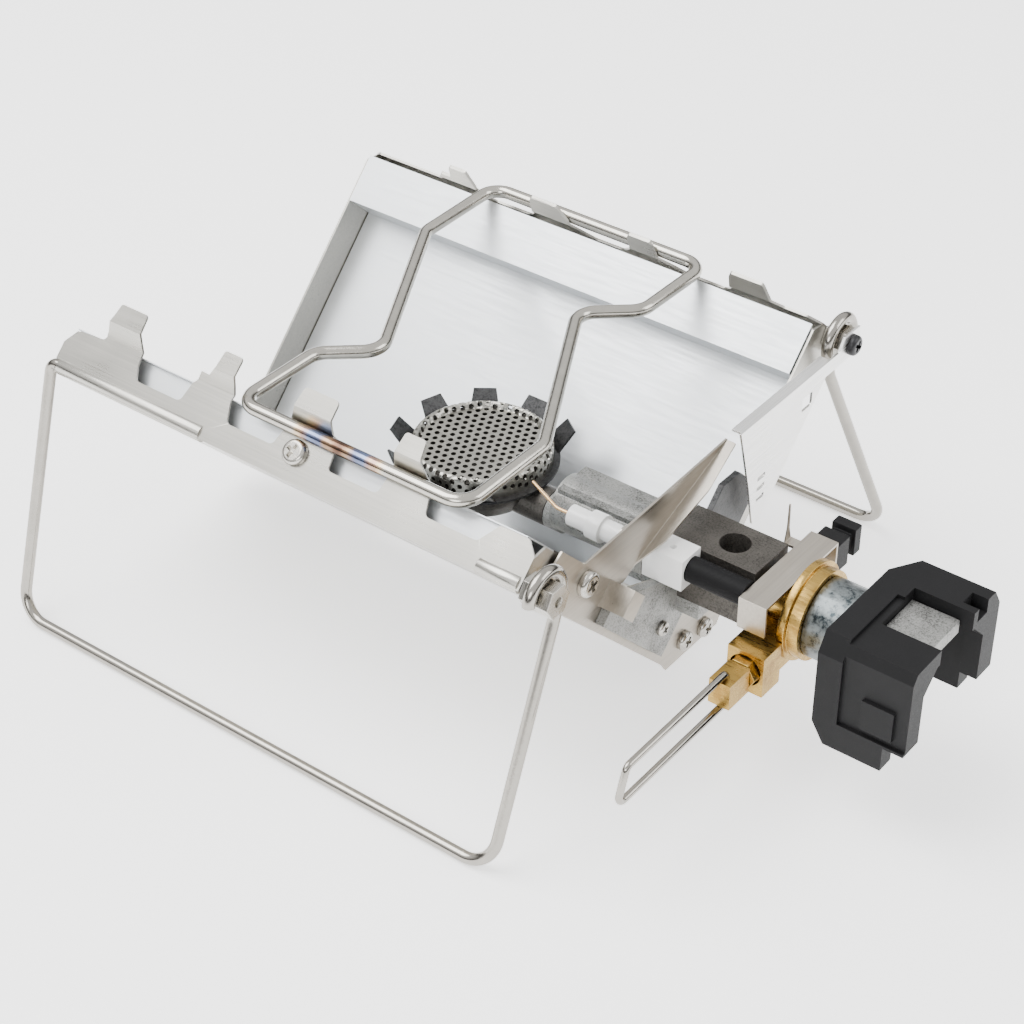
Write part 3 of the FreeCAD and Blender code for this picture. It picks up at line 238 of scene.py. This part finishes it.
# --- Liners -------------------------------------------------------------------------
# Bright aluminised sheet that throws the heat back up. It has a cold, milky sheen and
# the faint mottling of the coating.
def milky_sheet(name, tint):
    mat, tree, shader = shader_of(name)
    clouds = object_noise(tree, (1, 1, 1), 26.0, 4.0, 0.6)
    grain = object_noise(tree, (60, 900, 900), 1.0, 3.0)
    tree.links.new(ramp_of(tree, clouds, [(0.25, shade(tint, 0.955)), (0.75, shade(tint, 1.03))]),
                   shader.inputs["Base Color"])
    tree.links.new(spread(tree, grain, 0.34, 0.46), shader.inputs["Roughness"])
    bump(tree, shader, grain, 0.06, 0.00003)
    shader.inputs["Metallic"].default_value = 0.82
    return mat


liner_sheet = milky_sheet("liner_sheet", (0.74, 0.765, 0.785))
for name in ("front_liner", "rear_liner"):
    finish_piece(nodes[name], liner_sheet, 0.1 * MM)


# --- Hinge --------------------------------------------------------------------------
# Two butt hinges under the valley, their leaves spot welded to the case and the pins
# peened over at both ends.
hinge_steel = ground_steel("hinge_steel", (0.45, 0.44, 0.42), (40, 900, 900), (0.3, 0.5))
for name in ("hinge_leaves_front", "hinge_leaves_rear", "hinge_pins"):
    finish_piece(nodes[name], hinge_steel, 0.08 * MM)


# --- Legs and handle wire -----------------------------------------------------------
# Drawn stainless wire, 4 mm for the legs, bent cold. It shines more than the sheet and
# has faint draw lines along its length.
def drawn_wire(name, tint, rough=(0.12, 0.24)):
    mat, tree, shader = shader_of(name)
    clouds = object_noise(tree, (1, 1, 1), 160.0, 4.0)
    fine = object_noise(tree, (1, 1, 1), 1500.0, 2.0)
    tree.links.new(ramp_of(tree, clouds, [(0.3, shade(tint, 0.93)), (0.7, shade(tint, 1.05))]),
                   shader.inputs["Base Color"])
    tree.links.new(spread(tree, fine, *rough), shader.inputs["Roughness"])
    bump(tree, shader, clouds, 0.1, 0.0001)
    shader.inputs["Metallic"].default_value = 1.0
    return mat


leg_wire = drawn_wire("leg_wire", (0.34, 0.322, 0.29))
for name in ("front_leg", "rear_leg", "handle"):
    finish_piece(nodes[name], leg_wire, 0)


# --- Stand-offs and their bolts -----------------------------------------------------
# Hexagonal stand-offs that carry the legs' right ends and the rear shield. Bright
# turned steel; the rear one is closed with a black bolt.
def turned_steel(name, tint, rough=(0.16, 0.32)):
    mat, tree, shader = shader_of(name)
    rings = object_noise(tree, (1500, 90, 90), 1.0, 3.0)
    clouds = object_noise(tree, (1, 1, 1), 300.0, 3.0)
    tree.links.new(ramp_of(tree, clouds, [(0.3, shade(tint, 0.84)), (0.7, shade(tint, 1.06))]),
                   shader.inputs["Base Color"])
    tree.links.new(spread(tree, rings, *rough), shader.inputs["Roughness"])
    bump(tree, shader, rings, 0.1, 0.00004)
    shader.inputs["Metallic"].default_value = 1.0
    return mat


screw_steel = turned_steel("screw_steel", (0.50, 0.48, 0.44))
for name in ("front_standoff", "rear_standoff", "rim_screw", "rim_nut", "plate_screws",
             "casting_screws", "mount_nuts"):
    finish_piece(nodes[name], screw_steel, 0.15 * MM)
blackened = turned_steel("blackened_steel", (0.05, 0.05, 0.052), (0.3, 0.45))
finish_piece(nodes["standoff_bolts"], blackened, 0.15 * MM)


# --- Pot support --------------------------------------------------------------------
# One loop of 4.5 mm stainless wire, butt welded on its front run. The heat of the weld
# has left straw, brown and blue bands on both sides of a small dark nugget.
WELD_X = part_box("pot_support")[0][0] + 0.0633
TINT_REACH = 0.0195
FRONT_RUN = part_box("pot_support")[0][1] + 0.012      # only the run at the front is tinted


def tinted_wire():
    mat = drawn_wire("tinted_wire", (0.46, 0.44, 0.395))
    tree = mat.node_tree
    shader = tree.nodes["Principled BSDF"]
    plain = shader.inputs["Base Color"].links[0].from_socket
    coords = tree.nodes.new("ShaderNodeTexCoord")
    split = tree.nodes.new("ShaderNodeSeparateXYZ")
    tree.links.new(coords.outputs["Object"], split.inputs[0])
    wander = spread(tree, object_noise(tree, (1, 1, 1), 220.0, 3.0), -0.0014, 0.0014)
    along = calc(tree, "ADD", calc(tree, "SUBTRACT", split.outputs["X"], WELD_X), wander)
    reach = calc(tree, "DIVIDE", calc(tree, "ABSOLUTE", along), TINT_REACH)
    bands = ramp_of(tree, reach, [(0.0, (0.10, 0.06, 0.045)), (0.10, (0.16, 0.09, 0.06)),
                                  (0.22, (0.30, 0.20, 0.13)), (0.36, (0.13, 0.15, 0.24)),
                                  (0.55, (0.17, 0.21, 0.33)), (0.68, (0.36, 0.24, 0.20)),
                                  (0.82, (0.62, 0.46, 0.28)), (1.0, (0.68, 0.63, 0.56))])
    near = spread(tree, reach, 1.0, 0.0, 0.75, 1.0)
    front = calc(tree, "LESS_THAN", split.outputs["Y"], FRONT_RUN)
    mix = tree.nodes.new("ShaderNodeMix")
    mix.data_type = "RGBA"
    tree.links.new(calc(tree, "MULTIPLY", near, front), mix.inputs["Factor"])
    tree.links.new(plain, mix.inputs["A"])
    tree.links.new(bands, mix.inputs["B"])
    tree.links.new(mix.outputs["Result"], shader.inputs["Base Color"])
    return mat


finish_piece(nodes["pot_support"], tinted_wire(), 0)


# --- Heat shields and end plate -----------------------------------------------------
# Stainless sheet too, but from another coil: browner, satin, ground along Y.
shield_steel = ground_steel("shield_steel", (0.42, 0.385, 0.335), (1300, 30, 900), (0.26, 0.42))
for name in ("front_shield", "end_plate"):
    finish_piece(nodes[name], shield_steel, 0.1 * MM)
# The rear shield is the same ground stainless at about twice the brightness: a painted reflection
# of the white sweep on its face, not a different finish.
painted_reflection_steel = ground_steel("painted_reflection_steel", (0.82, 0.815, 0.80), (1300, 30, 900), (0.2, 0.34))
finish_piece(nodes["rear_shield"], painted_reflection_steel, 0.1 * MM)


# --- Castings -----------------------------------------------------------------------
# Zinc mount, mixing tube, regulator housing and lug, with the grainy light and dark
# speckle of a die casting; the air block and the burner's cup are darker and smoother.
def speckled_casting(name, light, dark, grain=1900.0, metal=0.85, rough=(0.38, 0.6)):
    mat, tree, shader = shader_of(name)
    specks = object_noise(tree, (1, 1, 1), grain, 3.0, 0.75)
    clouds = object_noise(tree, (1, 1, 1), 140.0, 3.0)
    both = calc(tree, "MULTIPLY_ADD", specks, 0.7, calc(tree, "MULTIPLY", clouds, 0.3))
    tree.links.new(ramp_of(tree, both, [(0.38, dark), (0.5, shade(light, 0.8)), (0.6, light)]),
                   shader.inputs["Base Color"])
    tree.links.new(spread(tree, specks, *rough), shader.inputs["Roughness"])
    bump(tree, shader, both, 0.55, 0.0002)
    shader.inputs["Metallic"].default_value = metal
    return mat


zinc = speckled_casting("zinc_casting", (0.36, 0.36, 0.345), (0.085, 0.085, 0.08))
for name in ("mixing_tube", "burner_mount", "holder_tongue"):
    finish_piece(nodes[name], zinc, 0.35 * MM, 3)
mottled_zinc = speckled_casting("mottled_zinc", (0.22, 0.245, 0.25), (0.035, 0.045, 0.05),
                                420.0, 0.95, (0.25, 0.5))
finish_piece(nodes["regulator_housing"], mottled_zinc, 0.3 * MM)
dark_iron = speckled_casting("dark_casting", (0.10, 0.092, 0.082), (0.035, 0.032, 0.028),
                             1500.0, 0.8, (0.4, 0.55))
for name in ("air_block", "burner_cup"):
    finish_piece(nodes[name], dark_iron, 0.3 * MM, 3)
burnt = speckled_casting("burnt_steel", (0.075, 0.075, 0.076), (0.03, 0.03, 0.031),
                         900.0, 0.9, (0.35, 0.5))
for name in ("petal_ring", "igniter_case"):
    finish_piece(nodes[name], burnt, 0.25 * MM)


# --- Igniter ------------------------------------------------------------------------
# Glazed white insulator and socket, a black sleeve over the lead, and the black button
# and housing at the back of the valve bracket.
def plain_coat(name, colour, rough, grain, depth, clearcoat=0.0, gloss=0.12):
    """Glaze, rubber or moulded plastic: slight colour drift and a fine surface grain."""
    mat, tree, shader = shader_of(name)
    clouds = object_noise(tree, (1, 1, 1), 90.0, 3.0)
    fine = object_noise(tree, (1, 1, 1), grain, 3.0)
    tree.links.new(ramp_of(tree, clouds, [(0.3, shade(colour, 0.92)), (0.7, shade(colour, 1.06))]),
                   shader.inputs["Base Color"])
    tree.links.new(spread(tree, fine, *rough), shader.inputs["Roughness"])
    bump(tree, shader, fine, 0.3, depth)
    shader.inputs["Coat Weight"].default_value = clearcoat
    shader.inputs["Specular IOR Level"].default_value = gloss
    return mat


glaze = plain_coat("glazed_ceramic", (0.90, 0.90, 0.885), (0.16, 0.26), 500.0, 0.00003, 0.5, 0.5)
for name in ("electrode_ceramic", "ceramic_socket"):
    finish_piece(nodes[name], glaze, 0.7 * MM, 4)
sleeve_rubber = plain_coat("sleeve_rubber", (0.006, 0.006, 0.0065), (0.5, 0.65), 1800.0, 0.00005)
for name in ("lead_sleeve", "spindle_seal", "inlet_seal", "diaphragm"):
    finish_piece(nodes[name], sleeve_rubber, 0)
black_plastic = plain_coat("black_plastic", (0.010, 0.010, 0.0105), (0.42, 0.56), 2600.0, 0.00006)
for name in ("igniter_housing", "igniter_button"):
    finish_piece(nodes[name], black_plastic, 0.4 * MM, 3)
copper_wire = drawn_wire("electrode_wire", (0.72, 0.47, 0.24), (0.2, 0.3))
finish_piece(nodes["electrode_wire"], copper_wire, 0)
for name in ("electrode_clip", "igniter_spring", "regulator_spring"):
    finish_piece(nodes[name], screw_steel, 0)


# --- Valve --------------------------------------------------------------------------
# Brass body, gland, spindle and flange, machined and a little tarnished in the
# corners, under a stainless strap bent down at both ends.
def machined_brass(name, tint, grain):
    mat, tree, shader = shader_of(name)
    lines = object_noise(tree, grain, 1.0, 4.0)
    clouds = object_noise(tree, (1, 1, 1), 170.0, 4.0, 0.6)
    tarnish = (tint[0] * 0.62, tint[1] * 0.52, tint[2] * 0.42)
    tree.links.new(ramp_of(tree, clouds, [(0.28, tarnish), (0.5, tint), (0.75, shade(tint, 1.12))]),
                   shader.inputs["Base Color"])
    tree.links.new(spread(tree, lines, 0.2, 0.42), shader.inputs["Roughness"])
    bump(tree, shader, lines, 0.16, 0.00005)
    shader.inputs["Metallic"].default_value = 1.0
    return mat


brass = machined_brass("machined_brass", (0.43, 0.275, 0.075), (200, 1300, 1300))
for name in ("valve_body", "valve_gland", "spindle", "regulator_flange", "gas_jet", "inlet_stem"):
    finish_piece(nodes[name], brass, 0.25 * MM)
finish_piece(nodes["valve_bracket"], shield_steel, 0.25 * MM)


# --- Cartridge holder ---------------------------------------------------------------
# Glass-filled black plastic with a fine eroded texture on the outside.
finish_piece(nodes["cartridge_holder"], black_plastic, 0.3 * MM, 2)


# --- Burner cap ---------------------------------------------------------------------
# Perforated stainless sheet drawn into a shallow dish: a flat floor, a raised lip and a
# short skirt that presses onto the cup. Holes of 1.9 mm stand 3.1 mm apart.
PITCH = 3.1 * MM
HOLE_R = 0.95 * MM
CAP_SHEET = 0.5 * MM
LIP_RISE = 1.7 * MM
LIP_WIDTH = 1.3 * MM
SKIRT = 5.4 * MM
ROWS_TURNED = math.radians(-4)
CELL_SIDES = 12             # a corner and the middle of a side of the hexagon in turn


def holed_cell(mesh, centre, hole):
    """One hexagonal cell of the sheet with a round hole, or without one."""
    corner = PITCH / 2 / math.cos(math.radians(30))
    ring_out, ring_in = [], []
    for i in range(CELL_SIDES):
        angle = math.tau * i / CELL_SIDES + ROWS_TURNED
        ray = Vector((math.cos(angle), math.sin(angle), 0))
        far = PITCH / 2 if i % 2 == 0 else corner
        ring_out.append(mesh.verts.new(centre + ray * far))
        if hole:
            ring_in.append(mesh.verts.new(centre + ray * HOLE_R))
    if not hole:
        mesh.faces.new(ring_out)
        return
    for i in range(CELL_SIDES):
        j = (i + 1) % CELL_SIDES
        mesh.faces.new((ring_out[i], ring_out[j], ring_in[j], ring_in[i]))


def new_piece(name, mesh):
    data = bpy.data.meshes.new(name)
    mesh.to_mesh(data)
    mesh.free()
    piece = bpy.data.objects.new(name, data)
    bpy.context.collection.objects.link(piece)
    return piece


def burner_cap():
    low, high = (Vector(corner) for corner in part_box("burner_cap"))
    middle = (low + high) / 2
    radius = (high.x - low.x) / 2 - CAP_SHEET
    floor_r = radius - LIP_WIDTH * 2
    lip = math.hypot(LIP_WIDTH, LIP_RISE)
    flat_r = floor_r + 2 * lip + SKIRT
    lip_z = high.z - CAP_SHEET
    floor_z = lip_z - LIP_RISE

    def drawn(flat):
        """Radius and height of a point that was so far from the middle of the blank."""
        if flat < floor_r:
            return flat, floor_z
        if flat < floor_r + lip:
            part = (flat - floor_r) / lip
            return floor_r + part * LIP_WIDTH, floor_z + LIP_RISE * math.sin(part * math.pi / 2)
        if flat < floor_r + 2 * lip:
            part = (flat - floor_r - lip) / lip
            return (floor_r + LIP_WIDTH * (1 + math.sin(part * math.pi / 2)),
                    lip_z - LIP_RISE * (1 - math.cos(part * math.pi / 2)))
        return radius, floor_z - (flat - floor_r - 2 * lip)

    mesh = bmesh.new()
    reach = int(flat_r / PITCH) + 2
    for row in range(-reach - 2, reach + 3):
        for column in range(-reach - 2, reach + 3):
            x = (column + (row % 2) / 2) * PITCH
            y = row * PITCH * math.sqrt(3) / 2
            centre = Matrix.Rotation(ROWS_TURNED, 3, "Z") @ Vector((x, y, 0))
            if centre.length < flat_r + PITCH * 0.45:
                holed_cell(mesh, centre, centre.length < flat_r - PITCH * 0.6)
    bmesh.ops.remove_doubles(mesh, verts=mesh.verts, dist=0.02 * MM)
    for vert in mesh.verts:
        flat = min(vert.co.xy.length, flat_r)
        angle = math.atan2(vert.co.y, vert.co.x)
        r, z = drawn(flat)
        vert.co = Vector((middle.x + r * math.cos(angle), middle.y + r * math.sin(angle), z))
    bmesh.ops.dissolve_degenerate(mesh, dist=0.01 * MM, edges=mesh.edges)
    bmesh.ops.recalc_face_normals(mesh, faces=mesh.faces)
    piece = new_piece("perforated_cap", mesh)
    wall = piece.modifiers.new("sheet", "SOLIDIFY")
    wall.thickness = CAP_SHEET
    wall.offset = 0
    return piece


cap_steel = ground_steel("cap_steel", (0.38, 0.37, 0.335), (700, 700, 700), (0.24, 0.4))
cap = burner_cap()
cap.data.materials.append(cap_steel)
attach(cap, "case")
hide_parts("burner_cap")
